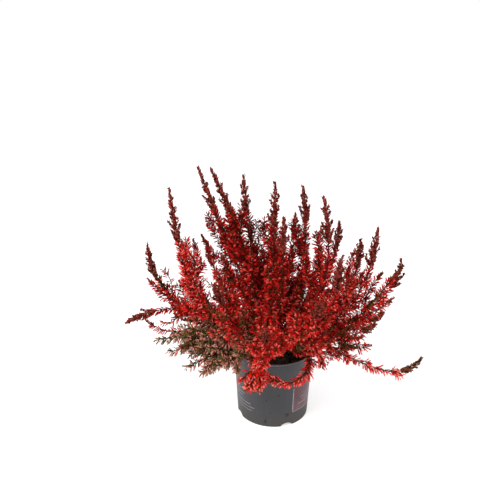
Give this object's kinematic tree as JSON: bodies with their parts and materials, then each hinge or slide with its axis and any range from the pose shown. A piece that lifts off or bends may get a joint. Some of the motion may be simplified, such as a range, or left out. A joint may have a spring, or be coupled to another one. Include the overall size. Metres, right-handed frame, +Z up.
{
  "type": "potted heather",
  "caption": "Bushy heather plant with dyed red flower spikes and dark leafy tips, standing in peat in a round tapered nursery pot with drain arches.",
  "frame": {"origin": "centre of the pot's foot on the ground, which is also the middle of the whole plant's box seen from above", "axes": "+Z up, +X to the right along the bush's widest spread, -Y the front that the picture shows"},
  "size_m": [0.3939, 0.3254, 0.354],
  "materials": {
    "pot_plastic": "satin",
    "peat": "matte",
    "red_florets": "matte",
    "faded_florets": "matte",
    "maroon_leaves": "matte"
  },
  "bodies": {
    "root": {"pot": "pot_plastic", "soil": "peat", "flower_spray_01": "red_florets", "flower_spray_02": "red_florets", "flower_spray_03": "red_florets", "flower_spray_04": "red_florets", "flower_spray_05": "red_florets", "flower_spray_06": "red_florets", "flower_spray_07": "red_florets", "flower_spray_08": "red_florets", "flower_spray_09": "red_florets", "flower_spray_10": "red_florets", "flower_spray_11": "red_florets", "flower_spray_12": "red_florets", "flower_spray_13": "red_florets", "flower_spray_14": "red_florets", "flower_spray_15": "red_florets", "flower_spray_16": "red_florets", "flower_spray_17": "red_florets", "flower_spray_18": "red_florets", "flower_spray_19": "faded_florets", "flower_spray_20": "faded_florets", "flower_spray_21": "red_florets", "flower_spray_22": "red_florets", "flower_spray_23": "red_florets", "flower_spray_24": "red_florets", "flower_spray_25": "red_florets", "flower_spray_26": "red_florets", "flower_spray_27": "red_florets", "flower_spray_28": "red_florets", "flower_spray_29": "red_florets", "leafy_tip_01": "maroon_leaves", "leafy_tip_02": "maroon_leaves", "leafy_tip_03": "maroon_leaves", "leafy_tip_04": "maroon_leaves", "leafy_tip_05": "maroon_leaves", "leafy_tip_06": "maroon_leaves", "leafy_tip_07": "maroon_leaves", "leafy_tip_08": "maroon_leaves", "leafy_tip_09": "maroon_leaves", "leafy_tip_10": "maroon_leaves", "leafy_tip_11": "maroon_leaves", "leafy_tip_12": "maroon_leaves", "leafy_tip_13": "maroon_leaves", "leafy_tip_14": "maroon_leaves", "leafy_tip_15": "maroon_leaves", "leafy_tip_16": "maroon_leaves", "leafy_tip_17": "maroon_leaves", "leafy_tip_18": "maroon_leaves", "leafy_tip_19": "maroon_leaves", "leafy_tip_20": "maroon_leaves", "leafy_tip_21": "maroon_leaves", "leafy_tip_22": "maroon_leaves", "leafy_tip_23": "maroon_leaves", "leafy_tip_24": "maroon_leaves", "leafy_tip_25": "maroon_leaves", "leafy_tip_26": "maroon_leaves", "leafy_tip_27": "maroon_leaves", "leafy_tip_28": "maroon_leaves", "leafy_tip_29": "maroon_leaves"}
  },
  "joints": []
}
